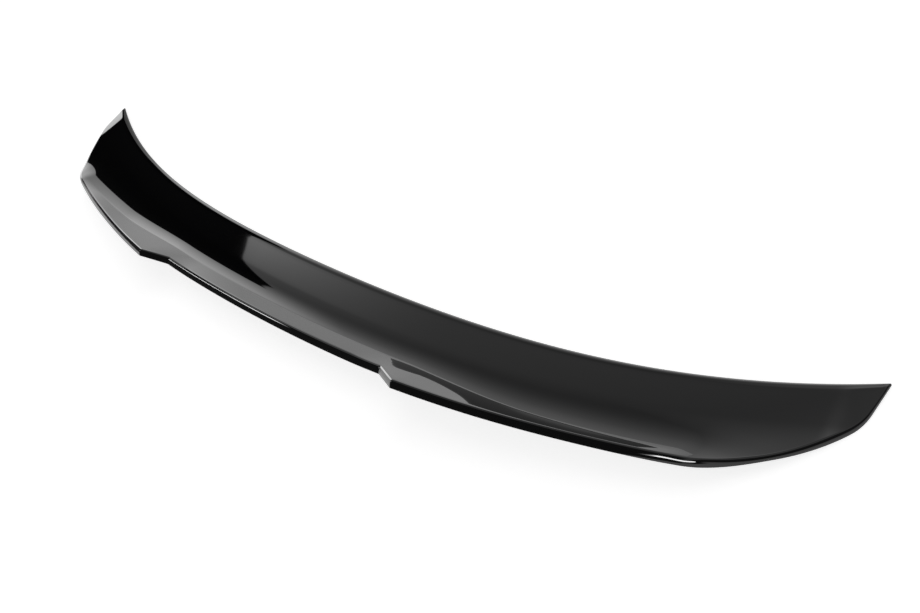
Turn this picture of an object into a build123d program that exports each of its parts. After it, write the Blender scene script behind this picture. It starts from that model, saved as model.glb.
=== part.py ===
"""Boot-lid lip spoiler, one moulding in gloss black plastic.

X runs along the spoiler, to the right as seen from behind the car. Y points forward and Z up.
The front edge lies over the boot lid and the lip along the back is kicked up.
The origin lies on the floor, below the middle of the front edge.
"""

import os
from math import asin, atan2, cos, radians, sin

from build123d import *

# Plan, seen from above (mm)
half_length = 600.0
front_sweep = 94.0  # how far each tip lies ahead of the middle of the front edge
front_square_share = 0.48  # share of that sweep that grows with the square, the rest with the fourth power
side_edge = 38.5  # straight run from each tip back to the corner
rear_corner_radius = 195.0
rear_corner_angle = 63.5  # direction of the rear corner's arc where it meets the side edge, degrees from X
lip_meeting_angle = 30.0  # direction of that arc where it runs out over the lip, degrees from X
side_corner_radius = 40.0

# Section, seen from the side (mm)
crease_setback = 72.5  # crease behind the front edge at the middle
crease_setback_gain = 24.0  # further setback of the crease at the ends
crease_height = 9.7  # crease above the shoulder at the middle
crease_climb = 5.2
lip_run = 32.5  # lip edge behind the crease at the middle, carried across the notch
lip_run_end = 4.5
lip_height = 45.5  # lip edge above the shoulder at the middle, carried across the notch
lip_low_height = 17.5
lip_low_place = 531.0  # distance from the middle at which the lip is lowest
sweep_up_angle = 33.0  # slope of the concave sweep where it meets the crease, degrees
hollow_depth = 1.0  # lowest line of the top surface below the shoulder
shoulder_run = 8.0  # shoulder behind the front edge, from where the top rolls over
shoulder_drop = 3.0

# Notch in the lip (mm)
notch_half_width = 194.5
notch_depth = 29.5  # measured down the lip from the lip edge at the middle
notch_floor_bow = 4.2
notch_end_angle = 24.6  # slope of the notch's ends in the plane of the lip, degrees

# Thicknesses and edges (mm)
lip_thickness = 7.6
front_thickness = 4.0
keel_thickness = 5.6
skin = 3.0
rim_wall = 3.0
keel_land = 6.0  # solid strip left behind the lowest line of the underside
edge_radius = 2.2  # round along the lip edge and the notch

# Cutting allowances (mm)
overrun = 10.0
bays = 6

shoulder_height = keel_thickness + hollow_depth
tall = 2 * (shoulder_height + lip_height)


def front_y(x):
    """Place of the front edge at a distance x from the middle."""
    t = abs(x) / half_length
    return front_sweep * (front_square_share * t**2 + (1 - front_square_share) * t**4)


def crease(x):
    """Crease between the concave sweep and the lip as (y, z)."""
    t = abs(x) / half_length
    y = front_y(x) - crease_setback - crease_setback_gain * t**4
    return y, shoulder_height + crease_height + crease_climb * t**2


def lip_edge(x):
    """Lip edge as (y, z), carried across the notch."""
    t = abs(x) / half_length
    run = lip_run_end + (lip_run - lip_run_end) * (1 - t**2) ** 2
    fall = (1 - (x / lip_low_place) ** 2) ** 2
    height = lip_low_height + (lip_height - lip_low_height) * fall
    return crease(x)[0] - run, shoulder_height + height


def lip_slope(x):
    """Slope of the lip in radians."""
    y_crease, z_crease = crease(x)
    y_lip, z_lip = lip_edge(x)
    return atan2(z_lip - z_crease, y_crease - y_lip)


def beside_lip(x, point, inward, down):
    """Point moved along the lip towards the front and squarely down through its thickness."""
    slope = lip_slope(x)
    y = point[0] + inward * cos(slope) - down * sin(slope)
    z = point[1] - inward * sin(slope) - down * cos(slope)
    return y, z


def hollow(x):
    """Lowest point of the top surface as (y, z), where the concave sweep starts."""
    y_crease, z_crease = crease(x)
    angle = radians(sweep_up_angle)
    radius = (z_crease - keel_thickness) / (1 - cos(angle))
    return y_crease + radius * sin(angle), keel_thickness


def level_arc(low, end):
    """Arc that leaves the low point level and ends at the other point."""
    return TangentArc(low, end, tangent=(1 if end[0] > low[0] else -1, 0))


def section_plane(x):
    """Upright plane across the spoiler, with local x forward and local y up."""
    return Plane(origin=(x, 0, 0), x_dir=(0, 1, 0), z_dir=(1, 0, 0))


stations = [k * (half_length + overrun) / bays for k in range(-bays, bays + 1)]

# Lip plane at the middle: the notch is drawn on it and cut squarely through the lip
lip_middle = Vector(0, *lip_edge(0))
slope_middle = lip_slope(0)
notch_plane = Plane(
    origin=lip_middle,
    x_dir=(1, 0, 0),
    z_dir=(0, sin(slope_middle), cos(slope_middle)),
)


def notch_outline(margin):
    """Half-open notch in the lip plane, grown by a margin, running out past the lip edge."""
    angle = radians(notch_end_angle)
    floor = notch_depth + margin
    corner = notch_half_width + margin * (1 - cos(angle)) / sin(angle)
    corner_floor = floor + notch_floor_bow
    reach = corner_floor + lip_thickness + overrun
    outer = corner + reach * cos(angle) / sin(angle)
    ThreePointArc((-corner, corner_floor), (0, floor), (corner, corner_floor))
    Polyline(
        (corner, corner_floor),
        (outer, corner_floor - reach),
        (-outer, corner_floor - reach),
        (-corner, corner_floor),
    )


def plan_outline(margin):
    """Half of the plan, drawn in by a margin at the end and open past the front and back."""
    angle = radians(rear_corner_angle)
    corner = Vector(half_length, front_sweep - side_edge)
    centre = corner + Vector(-sin(angle), cos(angle)) * rear_corner_radius
    radius = rear_corner_radius - margin
    side = half_length - margin
    turn = asin((side - centre.X) / radius)
    leave = radians(lip_meeting_angle)
    front = front_sweep + overrun
    back = -crease_setback - lip_run - lip_thickness - overrun

    def on_arc(direction):
        return centre + Vector(sin(direction), -cos(direction)) * radius

    start = on_arc(turn)
    end = on_arc(leave)
    out = end - Vector(cos(leave), sin(leave)) * ((end.Y - back) / sin(leave))
    Polyline((0, front), (side, front), start)
    ThreePointArc(start, on_arc((turn + leave) / 2), end)
    Polyline(end, out, (0, back), (0, front))


def plan_sketch(margin):
    """Plan of the whole spoiler, with the corner behind each side edge rounded."""
    with BuildSketch(Plane.XY.offset(-tall)) as plan:
        with BuildLine():
            plan_outline(margin)
        make_face()
        corner = plan.vertices().group_by(Axis.X)[-1].sort_by(Axis.Y)[0]
        fillet(corner, side_corner_radius - margin)
        mirror(about=Plane.YZ)
    return plan.sketch


def notch_sketch(margin):
    """Notch drawn on the lip plane."""
    with BuildSketch(notch_plane) as notch:
        with BuildLine():
            notch_outline(margin)
        make_face()
    return notch.sketch


def forward_lean(face):
    """How far a face turns to the front, which is most on the lip."""
    return face.normal_at().Y


def is_top(face):
    """Whether a face belongs to the top surface, which never leans far back."""
    return face.normal_at().Z > max(0, -2 * forward_lean(face))


# Space under the lip and the sweep, left open below
with BuildPart() as pocket:
    for x in stations:
        with BuildSketch(section_plane(x)):
            with BuildLine():
                low = (hollow(x)[0] - keel_land, hollow(x)[1] - skin)
                bend = beside_lip(x, crease(x), 0, skin)
                end = beside_lip(x, lip_edge(x), rim_wall, skin)
                foot = beside_lip(x, lip_edge(x), rim_wall, lip_thickness + overrun)
                level_arc(low, bend)
                Polyline(bend, end, foot, (foot[0], -overrun), (low[0], -overrun), low)
            make_face()
    loft()
    extrude(plan_sketch(rim_wall), amount=2 * tall, mode=Mode.INTERSECT)
    extrude(notch_sketch(rim_wall), amount=tall, both=True, mode=Mode.SUBTRACT)

with BuildPart() as spoiler_shell:
    for x in stations:
        with BuildSketch(section_plane(x)):
            with BuildLine():
                low = hollow(x)
                shoulder = (front_y(x) - shoulder_run, shoulder_height)
                nose = (front_y(x), shoulder_height - shoulder_drop)
                keel = (low[0], 0)
                bend = beside_lip(x, crease(x), 0, lip_thickness)
                foot = beside_lip(x, lip_edge(x), 0, lip_thickness)
                rise = level_arc(low, shoulder)
                TangentArc(shoulder, nose, tangent=rise % 1)
                level_arc(low, crease(x))
                Polyline(crease(x), lip_edge(x), foot, bend)
                level_arc(keel, bend)
                Polyline(keel, (nose[0], shoulder_height - front_thickness), nose)
            make_face()
    loft()
    extrude(notch_sketch(0), amount=tall, both=True, mode=Mode.SUBTRACT)
    top = spoiler_shell.faces().filter_by(is_top)
    ends = spoiler_shell.faces().filter_by(Axis.X)
    lip = top.sort_by(forward_lean)[-1]
    borders = top.edges() + ends.edges()
    fillet([edge for edge in lip.edges() if borders.count(edge) == 1], edge_radius)
    extrude(plan_sketch(0), amount=2 * tall, mode=Mode.INTERSECT)
    add(pocket.part, mode=Mode.SUBTRACT)

spoiler_shell.part.label = "spoiler_shell"

os.makedirs("parts", exist_ok=True)
export_step(spoiler_shell.part, "parts/spoiler_shell.step")
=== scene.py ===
"""Boot-lid lip spoiler in gloss black plastic, on a plain pale studio floor.

Sizes are in millimetres and become metres where a mesh, a light or the camera is placed.
X runs along the spoiler, Y points forward and Z up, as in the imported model.
"""

import logging
from collections.abc import Callable
from dataclasses import dataclass, field
from enum import Enum
from math import asin, atan2, cos, hypot, pi, radians, sin, sqrt, tan
from typing import Any

import bpy
from mathutils import Matrix, Vector


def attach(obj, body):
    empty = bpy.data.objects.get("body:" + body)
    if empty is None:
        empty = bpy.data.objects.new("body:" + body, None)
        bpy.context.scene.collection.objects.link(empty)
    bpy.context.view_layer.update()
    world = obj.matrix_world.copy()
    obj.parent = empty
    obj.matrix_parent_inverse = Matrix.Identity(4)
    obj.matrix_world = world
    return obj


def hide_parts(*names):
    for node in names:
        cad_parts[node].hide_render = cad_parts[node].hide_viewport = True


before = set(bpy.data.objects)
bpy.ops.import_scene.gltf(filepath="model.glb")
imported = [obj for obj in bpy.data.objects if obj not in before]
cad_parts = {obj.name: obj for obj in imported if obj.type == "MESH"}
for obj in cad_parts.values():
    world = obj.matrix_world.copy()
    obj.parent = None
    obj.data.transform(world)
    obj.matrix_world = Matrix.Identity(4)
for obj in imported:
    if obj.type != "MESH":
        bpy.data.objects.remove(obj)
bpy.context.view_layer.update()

MM = 0.001

log = logging.getLogger("spoiler")


def linear(colour: str) -> tuple[float, float, float, float]:
    """Turns an sRGB hex colour to linear.

    Args:
        colour: colour as "#rrggbb".

    Returns:
        Linear red, green and blue, with an alpha of 1.
    """
    parts = [int(colour[k:k + 2], 16) / 255 for k in (1, 3, 5)]
    red, green, blue = (p / 12.92 if p <= 0.04045 else ((p + 0.055) / 1.055) ** 2.4 for p in parts)
    return red, green, blue, 1.0


def add_node(
    tree: bpy.types.NodeTree,
    kind: str,
    settings: dict[str, Any] | None = None,
    values: dict[str | int, Any] | None = None,
    links: dict[str | int, bpy.types.NodeSocket] | None = None,
) -> bpy.types.Node:
    """Adds a node with its settings and links.

    Args:
        tree: node tree that takes the node.
        kind: type of the node.
        settings: attributes of the node itself.
        values: values of its input sockets.
        links: output sockets of other nodes, by the input socket they feed.

    Returns:
        The new node.
    """
    node = tree.nodes.new(kind)
    for name, value in (settings or {}).items():
        setattr(node, name, value)
    for socket, value in (values or {}).items():
        node.inputs[socket].default_value = value
    for socket, source in (links or {}).items():
        tree.links.new(source, node.inputs[socket])
    return node


def soft_max(first: float, second: float, width: float) -> float:
    """Gives the larger of two values, with the corner where they cross rounded.

    Args:
        first: one value.
        second: the other value.
        width: difference below which the corner is rounded.

    Returns:
        The larger value, or a little more near the crossing.
    """
    near = max(width - abs(first - second), 0.0) / width
    return max(first, second) + near * near * width / 4


def ease(low: float, high: float, value: float) -> float:
    """Rises smoothly from 0 at low to 1 at high."""
    share = min(max((value - low) / (high - low), 0.0), 1.0)
    return share * share * (3 - 2 * share)


def spread(start: float, end: float, count: int) -> list[float]:
    """Even steps from start to end, without the start itself."""
    return [start + (end - start) * k / count for k in range(1, count + 1)]


class Side(Enum):
    """Side of the shell's grid that a border point lies on."""

    FRONT = "front edge"
    TIP = "rounded tip"
    REAR = "lip, rear corner and side edge"


@dataclass(frozen=True)
class BorderPoint:
    """Place on the shell's border, where the top meets the edge wall.

    Attributes:
        edge: meeting point of the top and the wall before rounding.
        inward: direction on the top, away from the border.
        inside: direction squarely through the wall to the inside.
        down: direction down the wall.
        foot: lower end of the wall.
        radius: radius of the rounding.
        upright: 0 where the wall is square to the lip, 1 where it is vertical.
    """

    edge: Vector
    inward: Vector
    inside: Vector
    down: Vector
    foot: Vector
    radius: float
    upright: float

    def rounded(self, share: float) -> Vector:
        """Gives a point on the rounding between the top and the wall.

        Args:
            share: 0 at the top, 1 at the wall.

        Returns:
            The point.
        """
        angle = self.inward.angle(self.down)
        reach = self.radius / tan(angle / 2)
        centre = self.edge + (self.inward + self.down).normalized() * (self.radius / sin(angle / 2))
        first = (self.edge + self.inward * reach - centre).normalized()
        last = (self.edge + self.down * reach - centre).normalized()
        return centre + first.slerp(last, share) * self.radius

    def walled(self, share: float, bow: float) -> Vector:
        """Gives a point on the wall, which bows out a little.

        Args:
            share: 0 at the rounding, 1 at the foot.
            bow: how far the wall stands out at its middle, as a share of its height.

        Returns:
            The point.
        """
        start = self.rounded(1)
        height = (self.foot - start).length
        return start.lerp(self.foot, share) - self.inside * (4 * bow * height * share * (1 - share))


@dataclass
class SpoilerForm:
    """Surfaces of the spoiler, from the sizes of the solid model and a few finer ones.

    A span holds the distances from the middle between which something comes in or fades. The
    finer sizes soften the crease at the notch, lift the lip, fade the sweep at the ends and bend
    the ends down.
    """

    half_length: float = 600.0
    front_sweep: float = 94.0
    front_square_share: float = 0.48
    side_edge: float = 38.5
    rear_corner_radius: float = 195.0
    rear_corner_angle: float = 63.5
    rear_corner_start: float = 470.0
    rear_corner_blend: float = 3.0
    side_corner_radius: float = 40.0
    tip_radius: float = 1.0

    crease_setback: float = 72.5
    crease_setback_gain: float = 24.0
    crease_height: float = 9.7
    crease_climb: float = 5.2
    lip_run: float = 32.5
    lip_run_end: float = 4.5
    lip_height: float = 45.5
    lip_low_height: float = 17.5
    lip_low_place: float = 531.0
    lip_lift: float = 1.5
    lip_lift_span: tuple[float, float, float] = (290.0, 420.0, 520.0)
    notch_slope: float = 36.5
    notch_ease: tuple[float, float] = (150.0, 235.0)
    notch_sweep_gain: float = 3.0
    notch_crease_lead: float = 5.5
    notch_crease_drop: float = 0.8
    notch_blend: tuple[float, float] = (205.0, 360.0)
    sweep_fade: float = 0.33
    sweep_fade_span: tuple[float, float] = (495.0, 572.0)
    sweep_up_angle: float = 33.0
    hollow_depth: float = 1.0
    shoulder_run: float = 8.0
    shoulder_drop: float = 3.0

    notch_half_width: float = 195.0
    notch_depth: float = 29.5
    notch_floor_bow: float = 4.2
    notch_end_angle: float = 24.6
    notch_corner: float = 0.6

    lip_thickness: float = 7.6
    front_thickness: float = 4.0
    keel_thickness: float = 5.6
    skin: float = 3.0
    rim_wall: float = 3.0
    keel_land: float = 6.0
    edge_radius: float = 2.2
    end_radius: float = 3.2
    edge_share: float = 0.6
    wall_turn: tuple[float, float] = (505.0, 560.0)
    wall_bow: float = 0.05
    droop_start: float = 583.0
    droop_slant: float = 0.2
    droop_bend: float = 14.0
    droop_slope: float = 0.055
    droop_gain: float = 0.0008
    droop_fade: tuple[float, float] = (10.0, 30.0)
    normal_step: float = 0.05

    @property
    def shoulder_height(self) -> float:
        """Height of the shoulder behind the front edge."""
        return self.keel_thickness + self.hollow_depth

    def front_y(self, x: float) -> float:
        """Gives the place of the front edge.

        Args:
            x: distance along the spoiler.

        Returns:
            Distance forward.
        """
        t = abs(x) / self.half_length
        square = self.front_square_share
        return self.front_sweep * (square * t**2 + (1 - square) * t**4)

    def beside_notch(self, x: float) -> float:
        """Share of the softer crease in front of the notch, 1 along it and 0 far from it."""
        return 1 - ease(*self.notch_blend, abs(x))

    def sweep_angle(self, x: float) -> float:
        """Slope of the concave sweep where it meets the crease, in radians."""
        return radians(self.sweep_up_angle + self.notch_sweep_gain * self.beside_notch(x))

    def plain_crease(self, x: float) -> tuple[float, float]:
        """Gives the crease as it would run on evenly past the notch.

        Args:
            x: distance along the spoiler.

        Returns:
            Place as (y, z).
        """
        t = abs(x) / self.half_length
        y = self.front_y(x) - self.crease_setback - self.crease_setback_gain * t**4
        return y, self.shoulder_height + self.crease_height + self.crease_climb * t**2

    def crease(self, x: float) -> tuple[float, float]:
        """Gives the crease between the concave sweep and the lip, further forward at the notch.

        Args:
            x: distance along the spoiler.

        Returns:
            Place as (y, z).
        """
        y, z = self.plain_crease(x)
        share = self.beside_notch(x)
        return y + self.notch_crease_lead * share, z - self.notch_crease_drop * share

    def lip_edge(self, x: float) -> tuple[float, float]:
        """Gives the lip edge, carried across the notch.

        Args:
            x: distance along the spoiler.

        Returns:
            Place as (y, z).
        """
        t = abs(x) / self.half_length
        run = self.lip_run_end + (self.lip_run - self.lip_run_end) * (1 - t**2) ** 2
        fall = (1 - (x / self.lip_low_place) ** 2) ** 2
        height = self.lip_low_height + (self.lip_height - self.lip_low_height) * fall
        start, middle, end = self.lip_lift_span
        height += self.lip_lift * (ease(start, middle, abs(x)) - ease(middle, end, abs(x)))
        return self.plain_crease(x)[0] - run, self.shoulder_height + height

    def plain_slope(self, x: float) -> float:
        """Gives the slope of the lip as it would run on evenly past the notch.

        Args:
            x: distance along the spoiler.

        Returns:
            Slope in radians.
        """
        y_crease, z_crease = self.plain_crease(x)
        y_lip, z_lip = self.lip_edge(x)
        return atan2(z_lip - z_crease, y_crease - y_lip)

    def lip_slope(self, x: float) -> float:
        """Gives the slope of the lip, which is less steep in the notch.

        Args:
            x: distance along the spoiler.

        Returns:
            Slope in radians.
        """
        y_crease, z_crease = self.crease(x)
        y_lip, z_lip = self.lip_edge(x)
        slope = atan2(z_lip - z_crease, y_crease - y_lip)
        return slope + (radians(self.notch_slope) - slope) * (1 - ease(*self.notch_ease, abs(x)))

    def sweep_radius(self, x: float) -> float:
        """Radius of the concave sweep."""
        return (self.crease(x)[1] - self.keel_thickness) / (1 - cos(self.sweep_angle(x)))

    def hollow_y(self, x: float) -> float:
        """Place of the lowest line of the top, where the concave sweep starts."""
        return self.crease(x)[0] + self.sweep_radius(x) * sin(self.sweep_angle(x))

    def end_droop(self, x: float, y: float) -> float:
        """Gives how far the top bends down beside each side edge.

        Args:
            x: distance along the spoiler.
            y: distance forward.

        Returns:
            The drop.
        """
        past = max(abs(x) - self.droop_start + self.droop_slant * y, 0.0)
        bent = min(past, self.droop_bend)
        drop = self.droop_slope * (past - bent + bent**2 / (2 * self.droop_bend))
        drop += self.droop_gain * past**2
        rolled = min((self.front_y(x) - y) / self.shoulder_run, 1.0)
        return drop * rolled * ease(*self.droop_fade, y)

    def top_z(self, x: float, y: float) -> float:
        """Height of the top surface.

        Args:
            x: distance along the spoiler.
            y: distance forward.

        Returns:
            Height above the floor.
        """
        low = self.hollow_y(x)
        shoulder = self.front_y(x) - self.shoulder_run
        y_crease, z_crease = self.crease(x)
        droop = self.end_droop(x, y)
        if y > shoulder:
            span = shoulder - low
            rise = (span**2 + self.hollow_depth**2) / (2 * self.hollow_depth)
            tilt = asin(span / rise)
            reach = self.shoulder_run * sin(tilt) + self.shoulder_drop * cos(tilt)
            roll = (self.shoulder_run**2 + self.shoulder_drop**2) / (2 * reach)
            offset = y - shoulder - roll * sin(tilt)
            height = sqrt(max(roll**2 - offset**2, 0.0)) - roll * cos(tilt)
            return self.shoulder_height + height - droop
        if y > low:
            span = shoulder - low
            rise = (span**2 + self.hollow_depth**2) / (2 * self.hollow_depth)
            return self.keel_thickness + rise - sqrt(rise**2 - (y - low) ** 2) - droop
        kept = 1 - self.sweep_fade * ease(*self.sweep_fade_span, abs(x))
        if y > y_crease:
            radius = self.sweep_radius(x)
            return self.keel_thickness + kept * (radius - sqrt(radius**2 - (low - y) ** 2)) - droop
        rise = z_crease - self.keel_thickness + (y_crease - y) * tan(self.lip_slope(x))
        return self.keel_thickness + kept * rise

    def top_normal(self, x: float, y: float) -> Vector:
        """Gives the upward normal of the top surface.

        Args:
            x: distance along the spoiler.
            y: distance forward.

        Returns:
            The normal.
        """
        step = self.normal_step
        along = (self.top_z(x + step, y) - self.top_z(x - step, y)) / (2 * step)
        forward = (self.top_z(x, y + step) - self.top_z(x, y - step)) / (2 * step)
        return Vector((-along, -forward, 1)).normalized()

    def under_z(self, x: float, y: float) -> float:
        """Height of the outer underside.

        Args:
            x: distance along the spoiler.
            y: distance forward.

        Returns:
            Height above the floor.
        """
        low = self.hollow_y(x)
        if y > low:
            nose = self.shoulder_height - self.front_thickness
            return nose * (y - low) / (self.front_y(x) - low)
        slope = self.plain_slope(x)
        bend_y = self.plain_crease(x)[0] - self.lip_thickness * sin(slope)
        bend_z = self.plain_crease(x)[1] - self.lip_thickness * cos(slope)
        if y > bend_y:
            radius = ((low - bend_y) ** 2 + bend_z**2) / (2 * bend_z)
            return radius - sqrt(radius**2 - (low - y) ** 2)
        return bend_z + (bend_y - y) * tan(slope)

    def ceiling_z(self, x: float, y: float) -> float:
        """Height of the hollow's ceiling, one skin below the top."""
        return self.top_z(x, y) - self.skin / self.top_normal(x, y).z

    def notch_drop(self, x: float) -> float:
        """Gives how far down the lip the notch reaches.

        Args:
            x: distance along the spoiler.

        Returns:
            Distance from the lip edge, zero beside the notch.
        """
        middle = self.plain_slope(0)
        y_middle, z_middle = self.lip_edge(0)
        y_lip, z_lip = self.lip_edge(x)
        lead = (y_lip - y_middle) * cos(middle) - (z_lip - z_middle) * sin(middle)
        floor = self.notch_depth + self.notch_floor_bow * (x / self.notch_half_width) ** 2
        past = abs(x) - self.notch_half_width
        end = self.notch_depth + self.notch_floor_bow - past * tan(radians(self.notch_end_angle))
        depth = -soft_max(-floor, -end, self.notch_corner)
        return soft_max(0.0, (depth - lead) / cos(self.plain_slope(x) - middle), self.notch_corner)

    def corner_centre(self) -> tuple[float, float]:
        """Centre of the rear corner's arc in plan."""
        angle = radians(self.rear_corner_angle)
        x = self.half_length - self.rear_corner_radius * sin(angle)
        return x, self.front_sweep - self.side_edge + self.rear_corner_radius * cos(angle)

    def side_corner(self) -> tuple[float, float, float]:
        """Side corner in plan: centre as x and y, and the direction at which its arc starts."""
        x_arc, y_arc = self.corner_centre()
        x = self.half_length - self.side_corner_radius
        start = asin((x - x_arc) / (self.rear_corner_radius - self.side_corner_radius))
        return x, y_arc - (self.rear_corner_radius - self.side_corner_radius) * cos(start), start

    def tip_angle(self) -> float:
        """Direction of the front edge at the tip, in radians from X."""
        steepness = 2 * self.front_square_share + 4 * (1 - self.front_square_share)
        return atan2(self.front_sweep * steepness, self.half_length)

    def tip_reach(self) -> float:
        """Distance from the sharp tip to where its rounding starts."""
        return self.tip_radius / tan((pi / 2 - self.tip_angle()) / 2)

    def rear_plan(self, place: float) -> tuple[float, float]:
        """Follows the rear border in plan, from the middle to the tip.

        Args:
            place: distance from the middle up to the side corner, and length of border from
                there on.

        Returns:
            Plan place as (x, y).
        """
        x_side, y_side, start = self.side_corner()
        x_arc, y_arc = self.corner_centre()
        bend = x_arc + self.rear_corner_radius * sin(start)
        if place <= bend:
            y_lip = self.lip_edge(place)[0] + self.notch_drop(place) * cos(self.plain_slope(place))
            if place <= self.rear_corner_start:
                return place, y_lip
            y_corner = y_arc - sqrt(self.rear_corner_radius**2 - (place - x_arc) ** 2)
            return place, soft_max(y_lip, y_corner, self.rear_corner_blend)
        turn = start + (place - bend) / self.side_corner_radius
        radius = self.side_corner_radius
        if turn <= pi / 2:
            return x_side + radius * sin(turn), y_side - radius * cos(turn)
        return self.half_length, y_side + (turn - pi / 2) * radius

    def rear_end(self) -> tuple[float, float]:
        """Places, as rear_plan takes them, where the side corner starts and where the tip does."""
        _, y_side, start = self.side_corner()
        bend = self.corner_centre()[0] + self.rear_corner_radius * sin(start)
        straight = self.front_sweep - self.tip_reach() - y_side
        return bend, bend + self.side_corner_radius * (pi / 2 - start) + straight

    def tip_plan(self, share: float) -> tuple[float, float]:
        """Point of the rounded tip in plan, from the front edge at 0 to the side edge at 1."""
        turn = (1 - share) * (pi / 2 + self.tip_angle())
        x = self.half_length - self.tip_radius + self.tip_radius * cos(turn)
        return x, self.front_sweep - self.tip_reach() + self.tip_radius * sin(turn)


@dataclass(frozen=True)
class MouldedBlackAbs:
    """ABS moulded in a polished tool: deep black, with a mirror gloss like wet lacquer.

    The eye sees the room in it far more than its own colour. A faint long ripple, as on any thin
    moulding, bends the reflections, and a light haze from handling dulls them a little in places.
    """

    colour: str = "#060607"
    ior: float = 1.5
    polish: tuple[float, float] = (0.01, 0.025)
    haze_size: float = 60.0
    haze_detail: float = 4.0
    haze_span: tuple[float, float] = (0.35, 0.65)
    ripple_size: float = 22.0
    ripple_height: float = 0.004

    def make(self) -> bpy.types.Material:
        """Makes the material.

        Returns:
            The material.
        """
        material = bpy.data.materials.new("moulded_gloss_black_abs")
        material.use_nodes = True
        tree = material.node_tree
        shader = tree.nodes["Principled BSDF"]
        shader.inputs["Base Color"].default_value = linear(self.colour)
        shader.inputs["IOR"].default_value = self.ior
        place = add_node(tree, "ShaderNodeTexCoord")
        haze = add_node(
            tree, "ShaderNodeTexNoise",
            values={"Scale": 1 / (self.haze_size * MM), "Detail": self.haze_detail},
            links={"Vector": place.outputs["Object"]},
        )
        faint, strong = self.haze_span
        clear, dull = self.polish
        polish = add_node(
            tree, "ShaderNodeMapRange",
            values={"From Min": faint, "From Max": strong, "To Min": clear, "To Max": dull},
            links={"Value": haze.outputs["Fac"]},
        )
        ripple = add_node(
            tree, "ShaderNodeTexNoise",
            values={"Scale": 1 / (self.ripple_size * MM), "Detail": 0.0},
            links={"Vector": place.outputs["Object"]},
        )
        bump = add_node(
            tree, "ShaderNodeBump",
            values={"Strength": 1.0, "Distance": self.ripple_height * MM},
            links={"Height": ripple.outputs["Fac"]},
        )
        tree.links.new(polish.outputs["Result"], shader.inputs["Roughness"])
        tree.links.new(bump.outputs["Normal"], shader.inputs["Normal"])
        return material


@dataclass(frozen=True)
class PaintedFloor:
    """White matt paint on a studio floor, even and without gloss."""

    colour: str = "#d0d0d0"
    glow: float = 0.78

    def make(self) -> bpy.types.Material:
        """Makes the material, white to the camera and in reflections but for the object's shadow.

        Returns:
            The material.
        """
        material = bpy.data.materials.new("matt_white_floor_paint")
        material.use_nodes = True
        tree = material.node_tree
        tree.nodes.remove(tree.nodes["Principled BSDF"])
        paint = add_node(tree, "ShaderNodeBsdfDiffuse", values={"Color": linear(self.colour)})
        rays = add_node(tree, "ShaderNodeLightPath")
        seen = add_node(
            tree, "ShaderNodeMath", {"operation": "ADD"},
            links={0: rays.outputs["Is Camera Ray"], 1: rays.outputs["Is Glossy Ray"]},
        )
        seen = add_node(
            tree, "ShaderNodeMath", {"operation": "ADD", "use_clamp": True},
            links={0: seen.outputs[0], 1: rays.outputs["Is Transmission Ray"]},
        )
        strength = add_node(
            tree, "ShaderNodeMath", {"operation": "MULTIPLY"},
            values={1: self.glow}, links={0: seen.outputs[0]},
        )
        glow = add_node(tree, "ShaderNodeEmission", links={"Strength": strength.outputs[0]})
        both = add_node(
            tree, "ShaderNodeAddShader", links={0: paint.outputs[0], 1: glow.outputs[0]},
        )
        tree.links.new(both.outputs[0], tree.nodes["Material Output"].inputs["Surface"])
        return material


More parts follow.
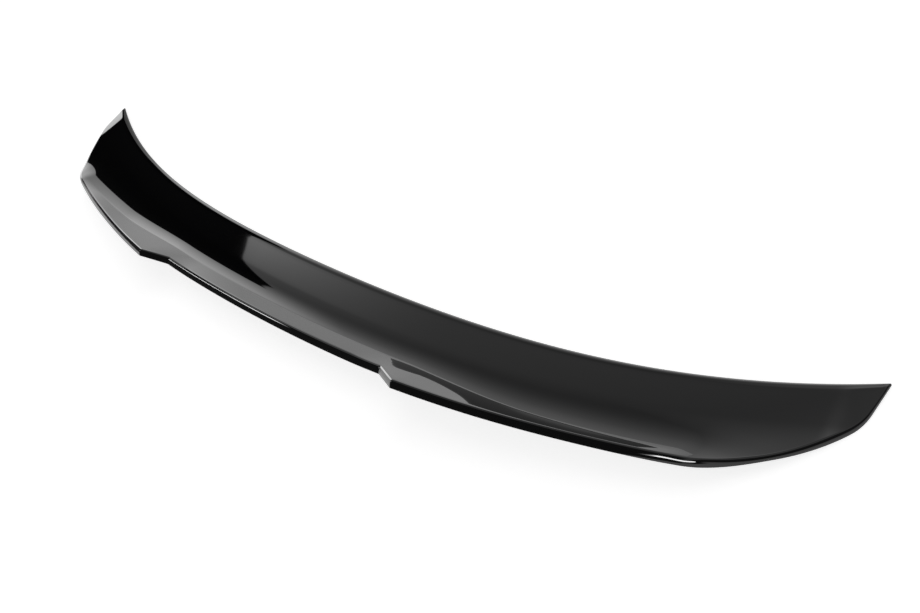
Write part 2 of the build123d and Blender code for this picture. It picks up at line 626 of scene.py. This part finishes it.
@dataclass
class SpoilerShell:
    """The spoiler's one moulding: top, rounded edges, edge wall and hollow underside.

    It is a grid with columns along the length, rows from the front to the rear and rings round
    the border. The stations list how far each run of columns goes and how many it has.
    """

    form: SpoilerForm = field(default_factory=SpoilerForm)
    slant_start: float = 470.0
    notch_end_run: float = 36.2
    notch_corner_run: float = 3.0
    side_corner_share: float = 0.52
    crease_round: float = 1.2
    crease_round_limit: float = 0.02
    hollow_span: tuple[float, float] = (6.0, 30.0)
    hollow_close: float = 0.8
    rim_wall_limit: float = 6.0
    seam: float = 0.005
    sharp_angle: float = 32.0
    roll_rows: int = 7
    rise_rows: int = 8
    sweep_rows: int = 15
    lip_rows: int = 11
    keel_rows: int = 12
    land_rows: int = 3
    foot_rows: int = 3
    round_rings: int = 5
    wall_rings: int = 4

    def __post_init__(self) -> None:
        """Works out the places of the grid's columns and the counts of columns, rows and rings."""
        form = self.form
        inner = form.notch_half_width
        outer = inner + self.notch_end_run
        near = self.notch_corner_run
        bend, tip = form.rear_end()
        side = bend + form.side_corner_radius * self.side_corner_share
        stations = (
            (inner - near, 44), (inner + near, 10), (outer - near, 8), (outer + near, 10),
            (self.slant_start, 52), (530.0, 20), (580.0, 20), (bend, 10), (side, 8), (tip, 8),
        )
        self.rear_places: list[float] = [0.0]
        for end, count in stations:
            self.rear_places += spread(self.rear_places[-1], end, count)
        self.front_places: list[float] = [p for p in self.rear_places if p <= self.slant_start]
        end = form.half_length - form.tip_reach() * cos(form.tip_angle())
        left = len(self.rear_places) - len(self.front_places)
        self.front_places += spread(self.slant_start, end, left)
        self.half_columns = len(self.rear_places) - 1
        self.rows = self.roll_rows + self.rise_rows + self.sweep_rows + self.lip_rows + 2
        self.rings = self.round_rings + self.wall_rings

    def border_edge(self, side: Side, column: int, row: int) -> Vector:
        """Gives the sharp border point of a grid vertex.

        Args:
            side: side of the grid.
            column: column, from minus half_columns to half_columns.
            row: row, from 0 at the front.

        Returns:
            The point before rounding.
        """
        form = self.form
        station = abs(column)
        if side is Side.FRONT:
            x = self.front_places[station]
            y = form.front_y(x)
        elif side is Side.TIP:
            x, y = form.tip_plan(row / self.rows)
        else:
            x, y = form.rear_plan(self.rear_places[station])
        return Vector((x if column >= 0 else -x, y, form.top_z(x, y)))

    def border_path(self) -> list[tuple[Side, int, int]]:
        """Lists the grid's border in order, round from the front's left end.

        Returns:
            Side, column and row of each vertex.
        """
        last = self.half_columns
        path = [(Side.FRONT, column, 0) for column in range(-last, last)]
        path += [(Side.TIP, last, row) for row in range(self.rows)]
        path += [(Side.REAR, column, self.rows) for column in range(last, -last, -1)]
        path += [(Side.TIP, -last, row) for row in range(self.rows, 0, -1)]
        return path

    def border(self) -> dict[tuple[int, int], BorderPoint]:
        """Works out the border all round.

        Returns:
            Border points by column and row.
        """
        form = self.form
        path = self.border_path()
        edges = [self.border_edge(*place) for place in path]
        found: dict[tuple[int, int], BorderPoint] = {}
        for k, (side, column, row) in enumerate(path):
            edge = edges[k]
            along = (edges[(k + 1) % len(path)] - edges[k - 1]).normalized()
            x = abs(edge.x)
            upright = ease(*form.wall_turn, x) if side is Side.REAR else 1.0
            slope = form.plain_slope(edge.x)
            lip_down = Vector((0, -sin(slope), -cos(slope)))
            down = lip_down.lerp(Vector((0, 0, -1)), upright)
            lip_foot = edge + lip_down * form.lip_thickness
            foot = lip_foot.lerp(Vector((edge.x, edge.y, form.under_z(edge.x, edge.y))), upright)
            down = (down - along * down.dot(along)).normalized()
            inward = along.cross(form.top_normal(edge.x, edge.y)).normalized()
            inside = down.cross(along).normalized()
            radius = form.edge_radius + (form.end_radius - form.edge_radius) * upright
            radius = min(radius, form.edge_share * (foot - edge).length)
            found[column, row] = BorderPoint(edge, inward, inside, down, foot, radius, upright)
        return found

    def crossing(
        self, start: Vector, end: Vector, line: Callable[[float], float], limit: float,
        steps: int = 30,
    ) -> float:
        """Finds where a column passes behind a line that runs along the spoiler.

        Args:
            start: the column's front point.
            end: the column's rear point.
            line: function of x that gives the line's y.
            limit: largest share to give.
            steps: halvings of the search.

        Returns:
            Share of the way from start to end.
        """
        low, high = 0.0, 1.0
        for _ in range(steps):
            middle = (low + high) / 2
            point = start.lerp(end, middle)
            low, high = (middle, high) if point.y > line(point.x) else (low, middle)
        return min(low, limit)

    def top_column(self, front: BorderPoint, rear: BorderPoint) -> list[Vector]:
        """Places one column of the top.

        Args:
            front: border point at the column's front end.
            rear: border point at its rear end.

        Returns:
            One point for each row.
        """
        form = self.form
        start, end = front.rounded(0), rear.rounded(0)
        length = hypot(end.x - start.x, end.y - start.y)
        gap = min(self.crease_round / length, self.crease_round_limit)
        crease = self.crossing(start, end, lambda x: form.crease(x)[0], 1 - 3 * gap)
        hollow = self.crossing(start, end, form.hollow_y, crease - 8 * gap)
        shoulder = self.crossing(
            start, end, lambda x: form.front_y(x) - form.shoulder_run, hollow - 4 * gap
        )
        shares = [0.0] + spread(0.0, shoulder, self.roll_rows)
        shares += spread(shoulder, hollow, self.rise_rows)
        shares += spread(hollow, crease - gap, self.sweep_rows) + [crease, crease + gap]
        shares += spread(crease + gap, 1.0, self.lip_rows)
        points = [start.lerp(end, share) for share in shares]
        return [Vector((p.x, p.y, form.top_z(p.x, p.y))) for p in points]

    def under_column(self, front: BorderPoint, rear: BorderPoint) -> list[Vector]:
        """Places one column of the underside, with the hollow behind the keel.

        Args:
            front: border point at the column's front end.
            rear: border point at its rear end.

        Returns:
            One point for each row.
        """
        form = self.form
        start, end = front.foot, rear.foot
        length = hypot(end.x - start.x, end.y - start.y)
        wall = min(form.rim_wall, length / self.rim_wall_limit)
        last = 1 - 2 * wall / length
        land = self.crossing(start, end, lambda x: form.hollow_y(x) - form.keel_land, last)
        keel = self.crossing(start, end, form.hollow_y, land - 0.3 * wall / length)
        low = end + rear.inside * wall
        lip_high = rear.edge + rear.inside * wall + rear.down * form.skin
        high = lip_high.lerp(Vector((low.x, low.y, form.ceiling_z(low.x, low.y))), rear.upright)
        depth = ease(*self.hollow_span, (last - land) * length)
        high = low.lerp(high, depth)

        shares = [0.0] + spread(0.0, keel, self.keel_rows) + spread(keel, land, self.land_rows)
        points = [start.lerp(end, share) for share in shares]
        column = [Vector((p.x, p.y, form.under_z(p.x, p.y))) for p in points]
        column[0] = start
        step = column[-1]
        count = self.rows - self.keel_rows - self.land_rows - self.foot_rows - 2
        for share in [0.0] + spread(0.0, 1.0, count):
            p = step.lerp(high, share)
            outer = form.under_z(p.x, p.y)
            height = outer + depth * (form.ceiling_z(p.x, p.y) - outer)
            height += (high.z - height) * ease(self.hollow_close, 1.0, share)
            column.append(Vector((p.x, p.y, height)))
        column += [low] + [low.lerp(end, share) for share in spread(0.0, 1.0, self.foot_rows)]
        return column

    def sheet(self) -> bpy.types.Object:
        """Adds the flat blank that the shell is shaped from, a thick sheet with rings round it.

        Returns:
            The blank, a closed grid as long and deep as the spoiler.
        """
        form = self.form
        bpy.ops.object.select_all(action="DESELECT")
        bpy.ops.mesh.primitive_grid_add(
            x_subdivisions=2 * self.half_columns, y_subdivisions=self.rows,
            size=1, location=(0, 0, 0),
        )
        blank = bpy.context.active_object
        blank.name = blank.data.name = "spoiler_moulding"
        bpy.ops.object.mode_set(mode="EDIT")
        bpy.ops.mesh.select_all(action="SELECT")
        bpy.ops.transform.resize(value=(2 * form.half_length * MM, form.front_sweep * MM, 1))
        bpy.ops.mesh.extrude_region_move(
            TRANSFORM_OT_translate={"value": (0, 0, -form.lip_thickness * MM)}
        )
        bpy.ops.mesh.select_mode(type="EDGE")
        bpy.ops.mesh.select_all(action="DESELECT")
        bpy.ops.object.mode_set(mode="OBJECT")
        points = blank.data.vertices
        for edge in blank.data.edges:
            first, second = (points[k].co for k in edge.vertices)
            edge.select = abs(first.z - second.z) > 0.5 * form.lip_thickness * MM
        bpy.ops.object.mode_set(mode="EDIT")
        bpy.ops.mesh.subdivide(number_cuts=self.rings - 1)
        bpy.ops.object.mode_set(mode="OBJECT")
        return blank

    def build(self) -> bpy.types.Object:
        """Shapes the blank to the spoiler.

        Returns:
            The finished moulding.
        """
        form = self.form
        blank = self.sheet()
        border = self.border()
        last = self.half_columns
        tops: dict[int, list[Vector]] = {}
        unders: dict[int, list[Vector]] = {}
        for column in range(1 - last, last):
            tops[column] = self.top_column(border[column, 0], border[column, self.rows])
            unders[column] = self.under_column(border[column, 0], border[column, self.rows])
        for vertex in blank.data.vertices:
            column = round(vertex.co.x / (2 * form.half_length * MM) * 2 * last)
            row = self.rows - round((vertex.co.y / (form.front_sweep * MM) + 0.5) * self.rows)
            ring = round(-vertex.co.z / (form.lip_thickness * MM) * self.rings)
            rim = border.get((column, row))
            if rim is None:
                place = (tops if ring == 0 else unders)[column][row]
            elif ring > self.round_rings:
                bow = form.wall_bow * (1 - rim.upright**4)
                place = rim.walled((ring - self.round_rings) / self.wall_rings, bow)
            else:
                place = rim.rounded(ring / self.round_rings)
                if ring == 0:
                    place.z = form.top_z(place.x, place.y)
            place.x = min(max(place.x, -form.half_length), form.half_length)
            vertex.co = place * MM
        bpy.ops.object.mode_set(mode="EDIT")
        bpy.ops.mesh.select_all(action="SELECT")
        bpy.ops.mesh.remove_doubles(threshold=self.seam * MM)
        bpy.ops.mesh.normals_make_consistent(inside=False)
        bpy.ops.object.mode_set(mode="OBJECT")
        bpy.ops.object.shade_smooth_by_angle(angle=radians(self.sharp_angle))
        return blank

    def dress(self, piece: bpy.types.Object, finish: MouldedBlackAbs) -> None:
        """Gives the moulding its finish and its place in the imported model.

        Args:
            piece: the moulding.
            finish: what it is made of.
        """
        piece.data.materials.clear()
        piece.data.materials.append(finish.make())
        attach(piece, "root")
        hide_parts("spoiler_shell")


Weights = tuple[float, float, float, float]

# What a span of directions runs over: weights of x, y and z, and of the turn about the
# spoiler's length, which runs from level ahead, over the top, to level behind
SIDE: Weights = (1.0, 0.0, 0.0, 0.0)
HEIGHT: Weights = (0.0, 0.0, 1.0, 0.0)
TURN: Weights = (0.0, 0.0, 0.0, 1.0)
DEPTH: Weights = (0.0, 1.0, 0.0, 0.0)
RIGHT_TURN: Weights = (-0.8, 0.0, 0.0, 1.0)
REAR_TILT: Weights = (0.3, 0.0, 1.0, 0.0)
LEFT_TILT: Weights = (0.041, 0.634, 0.772, 0.0)
FLAG_SIDE: Weights = (1.0, 0.0, 0.0, 0.044)
FLAG_FOOT: Weights = (0.584, 0.673, 0.4535, 0.0)


class Ramp(Enum):
    """How a level runs over a span."""

    SMOOTH = "SMOOTHSTEP"
    STRAIGHT = "LINEAR"


@dataclass(frozen=True)
class Span:
    """Change of a light's level over a span of directions.

    Attributes:
        across: what the span runs over.
        start: where the change starts.
        end: where it ends.
        first: level before it.
        last: level after it.
        ramp: how the level runs between.
    """

    across: Weights
    start: float
    end: float
    first: float
    last: float
    ramp: Ramp = Ramp.SMOOTH


@dataclass(frozen=True)
class Panel:
    """Lit panel or dark flag far away, whose level is the product of its spans."""

    spans: tuple[Span, ...]

    def level(
        self, tree: bpy.types.NodeTree, direction: bpy.types.NodeSocket, turn: bpy.types.NodeSocket
    ) -> bpy.types.NodeSocket:
        """Adds the panel to the world.

        Args:
            tree: node tree of the world.
            direction: direction that is looked in.
            turn: angle of that direction about the spoiler's length.

        Returns:
            The panel's level in that direction.
        """
        level = None
        for span in self.spans:
            *weights, turn_weight = span.across
            place = add_node(
                tree, "ShaderNodeVectorMath", {"operation": "DOT_PRODUCT"},
                {1: weights}, {0: direction},
            )
            place = add_node(
                tree, "ShaderNodeMath", {"operation": "MULTIPLY_ADD"},
                {1: turn_weight}, {0: turn, 2: place.outputs["Value"]},
            )
            grade = add_node(
                tree, "ShaderNodeMapRange", {"interpolation_type": span.ramp.value},
                {
                    "From Min": span.start, "From Max": span.end,
                    "To Min": span.first, "To Max": span.last,
                },
                {"Value": place.outputs[0]},
            ).outputs["Result"]
            level = grade if level is None else add_node(
                tree, "ShaderNodeMath", {"operation": "MULTIPLY"}, links={0: level, 1: grade},
            ).outputs[0]
        return level


# Ahead and above, seen in the main surface and the lip
BACKDROP = Panel((
    Span(TURN, radians(6), radians(53), 0.67, 0.0),
    Span(SIDE, -0.20, -0.10, 1.0, 0.02),
))
LEFT_BACKDROP = Panel((
    Span(SIDE, -0.825, -0.775, 1.25, 0.0, Ramp.STRAIGHT),
    Span(TURN, radians(-1), radians(7), 0.25, 1.0),
    Span(TURN, radians(18), radians(50), 1.0, 0.0),
))
RIGHT_BACKDROP = Panel((
    Span(SIDE, -0.63, -0.45, 0.0, 1.5, Ramp.STRAIGHT),
    Span(SIDE, -0.45, -0.30, 1.0, 0.2),
    Span(SIDE, -0.20, -0.10, 1.0, 0.0),
    Span(RIGHT_TURN, 1.13, 1.60, 1.0, 0.0),
))
LEFT_HORIZON = Panel((
    Span(SIDE, -0.87, -0.84, 2.2, 0.0),
    Span(HEIGHT, 0.28, 0.31, 1.0, 0.0),
    Span(TURN, radians(75), radians(90), 1.0, 0.0),
))
SOFTBOX = Panel((
    Span(TURN, radians(20), radians(95), 0.0, 0.7, Ramp.STRAIGHT),
    Span(TURN, radians(80), radians(95), 1.0, 0.0),
    Span(SIDE, -0.20, -0.10, 1.0, 0.02),
))
LEFT_FALL = Span(SIDE, -0.815, -0.70, 1.0, 0.0, Ramp.STRAIGHT)
LEFT_SOFTBOX = Panel((
    LEFT_FALL, LEFT_FALL,
    Span(TURN, radians(62), radians(80), 0.2, 1.3),
    Span(TURN, radians(88), radians(100), 1.0, 0.0),
))
# Narrow strips, seen as bright lines on the rims of the rear corner and of the notch
REAR_STRIP = Panel((
    Span(REAR_TILT, 0.252, 0.262, 0.0, 22.0),
    Span(REAR_TILT, 0.316, 0.328, 1.0, 0.0),
    Span(SIDE, -0.192, -0.172, 0.0, 1.0),
    Span(SIDE, 0.31, 0.33, 1.0, 0.0),
    Span(DEPTH, -0.6, -0.5, 1.0, 0.0),
))
LEFT_STRIP = Panel((
    Span(LEFT_TILT, -0.050, -0.030, 0.0, 14.0),
    Span(LEFT_TILT, 0.030, 0.050, 1.0, 0.0),
    Span(SIDE, -0.90, -0.885, 0.0, 1.0),
    Span(SIDE, -0.795, -0.775, 1.0, 0.0),
    Span(DEPTH, -0.2, -0.1, 1.0, 0.0),
))
# Rest of the room, which lights the other sides
RIGHT_ROOM = Panel((
    Span(SIDE, -0.20, -0.08, 0.0, 0.8),
    Span(SIDE, 0.05, 0.17, 1.0, 0.12),
    Span(DEPTH, -0.45, -0.05, 0.0, 1.0),
))
FRONT_ROOM = Panel((
    Span(SIDE, 0.08, 0.22, 0.0, 0.65),
    Span(DEPTH, 0.45, 0.60, 0.0, 1.0),
))
LOW_BACKDROP = Panel((
    Span(HEIGHT, 0.26, 0.33, 0.8, 0.0),
    Span(SIDE, 0.38, 0.50, 0.0, 1.0),
    Span(DEPTH, 0.40, 0.55, 1.0, 0.0),
))
REAR_SOFTBOX = Panel((
    Span(SIDE, 0.02, 0.12, 0.0, 0.5),
    Span(SIDE, 0.20, 0.32, 1.0, 0.0),
    Span(DEPTH, -0.30, -0.15, 1.0, 0.0),
))
REAR_ROOM = Panel((
    Span(DEPTH, -0.10, 0.10, 0.07, 0.0),
))
# Dark flag, seen as the black area at the far end
LEFT_FLAG = Panel((
    Span(FLAG_SIDE, -0.7675, -0.7667, 0.99, 0.0),
    Span(FLAG_FOOT, 0.016, 0.020, 1.0, 0.0),
    Span(HEIGHT, 0.293, 0.299, 0.0, 1.0),
))


@dataclass
class Studio:
    """Plain pale floor, soft light from all round and the camera."""

    floor_size: float = 80000.0
    panels: tuple[Panel, ...] = (
        BACKDROP, LEFT_BACKDROP, RIGHT_BACKDROP, LEFT_HORIZON, SOFTBOX, LEFT_SOFTBOX,
        RIGHT_ROOM, FRONT_ROOM, LOW_BACKDROP, REAR_SOFTBOX, REAR_ROOM, REAR_STRIP, LEFT_STRIP,
    )
    flags: tuple[Panel, ...] = (LEFT_FLAG,)
    camera_place: tuple[float, float, float] = (1037.57, -319.49, 763.39)
    camera_aim: tuple[float, float, float] = (-0.7123, 0.28369, -0.64199)
    camera_right: tuple[float, float, float] = (0.64552, 0.62388, -0.44054)
    camera_lens: float = 50.0
    camera_frame: float = 36.0
    camera_nearest: float = 10.0

    def floor(self, finish: PaintedFloor) -> bpy.types.Object:
        """Adds the floor.

        Args:
            finish: paint of the floor.

        Returns:
            The floor.
        """
        bpy.ops.object.select_all(action="DESELECT")
        bpy.ops.mesh.primitive_plane_add(size=self.floor_size * MM, location=(0, 0, 0))
        floor = bpy.context.active_object
        floor.name = "studio_floor"
        floor.data.materials.append(finish.make())
        return floor

    def light(self) -> None:
        """Lights the room with its panels and darkens it with its flags.

        Each is a part of the world's light, set by its direction, so it lies far away.
        """
        world = bpy.data.worlds.new("soft_studio")
        bpy.context.scene.world = world
        world.use_nodes = True
        tree = world.node_tree
        direction = add_node(tree, "ShaderNodeTexCoord").outputs["Generated"]
        axes = add_node(tree, "ShaderNodeSeparateXYZ", links={0: direction})
        turn = add_node(
            tree, "ShaderNodeMath", {"operation": "ARCTAN2"},
            links={0: axes.outputs["Z"], 1: axes.outputs["Y"]},
        ).outputs[0]
        level = None
        for panel in self.panels:
            share = panel.level(tree, direction, turn)
            level = share if level is None else add_node(
                tree, "ShaderNodeMath", {"operation": "ADD"}, links={0: level, 1: share},
            ).outputs[0]
        for flag in self.flags:
            shade = flag.level(tree, direction, turn)
            left = add_node(
                tree, "ShaderNodeMath", {"operation": "SUBTRACT"}, {0: 1.0}, {1: shade},
            ).outputs[0]
            level = add_node(
                tree, "ShaderNodeMath", {"operation": "MULTIPLY"}, links={0: level, 1: left},
            ).outputs[0]
        back = tree.nodes["Background"]
        back.inputs["Color"].default_value = linear("#ffffff")
        tree.links.new(level, back.inputs["Strength"])

    def camera(self) -> bpy.types.Object:
        """Adds the camera.

        Returns:
            The camera.
        """
        data = bpy.data.cameras.new("studio_camera")
        data.lens = self.camera_lens
        data.sensor_width = self.camera_frame
        data.clip_start = self.camera_nearest * MM
        camera = bpy.data.objects.new("studio_camera", data)
        bpy.context.scene.collection.objects.link(camera)
        back = -Vector(self.camera_aim).normalized()
        up = back.cross(Vector(self.camera_right)).normalized()
        right = up.cross(back)
        turn = Matrix((right, up, back)).transposed().to_4x4()
        camera.matrix_world = Matrix.Translation(Vector(self.camera_place) * MM) @ turn
        bpy.context.scene.camera = camera
        return camera


def main() -> None:
    """Builds the studio and the spoiler."""
    logging.basicConfig(level=logging.INFO, format="%(message)s")
    bpy.context.scene.view_settings.view_transform = "Standard"
    studio = Studio()
    log.info("camera: %s", studio.camera().name)
    log.info("floor: %s", studio.floor(PaintedFloor()).name)
    studio.light()
    shell = SpoilerShell()
    moulding = shell.build()
    shell.dress(moulding, MouldedBlackAbs())
    log.info("%s: %d faces", moulding.name, len(moulding.data.polygons))


if __name__ == "__main__":
    main()
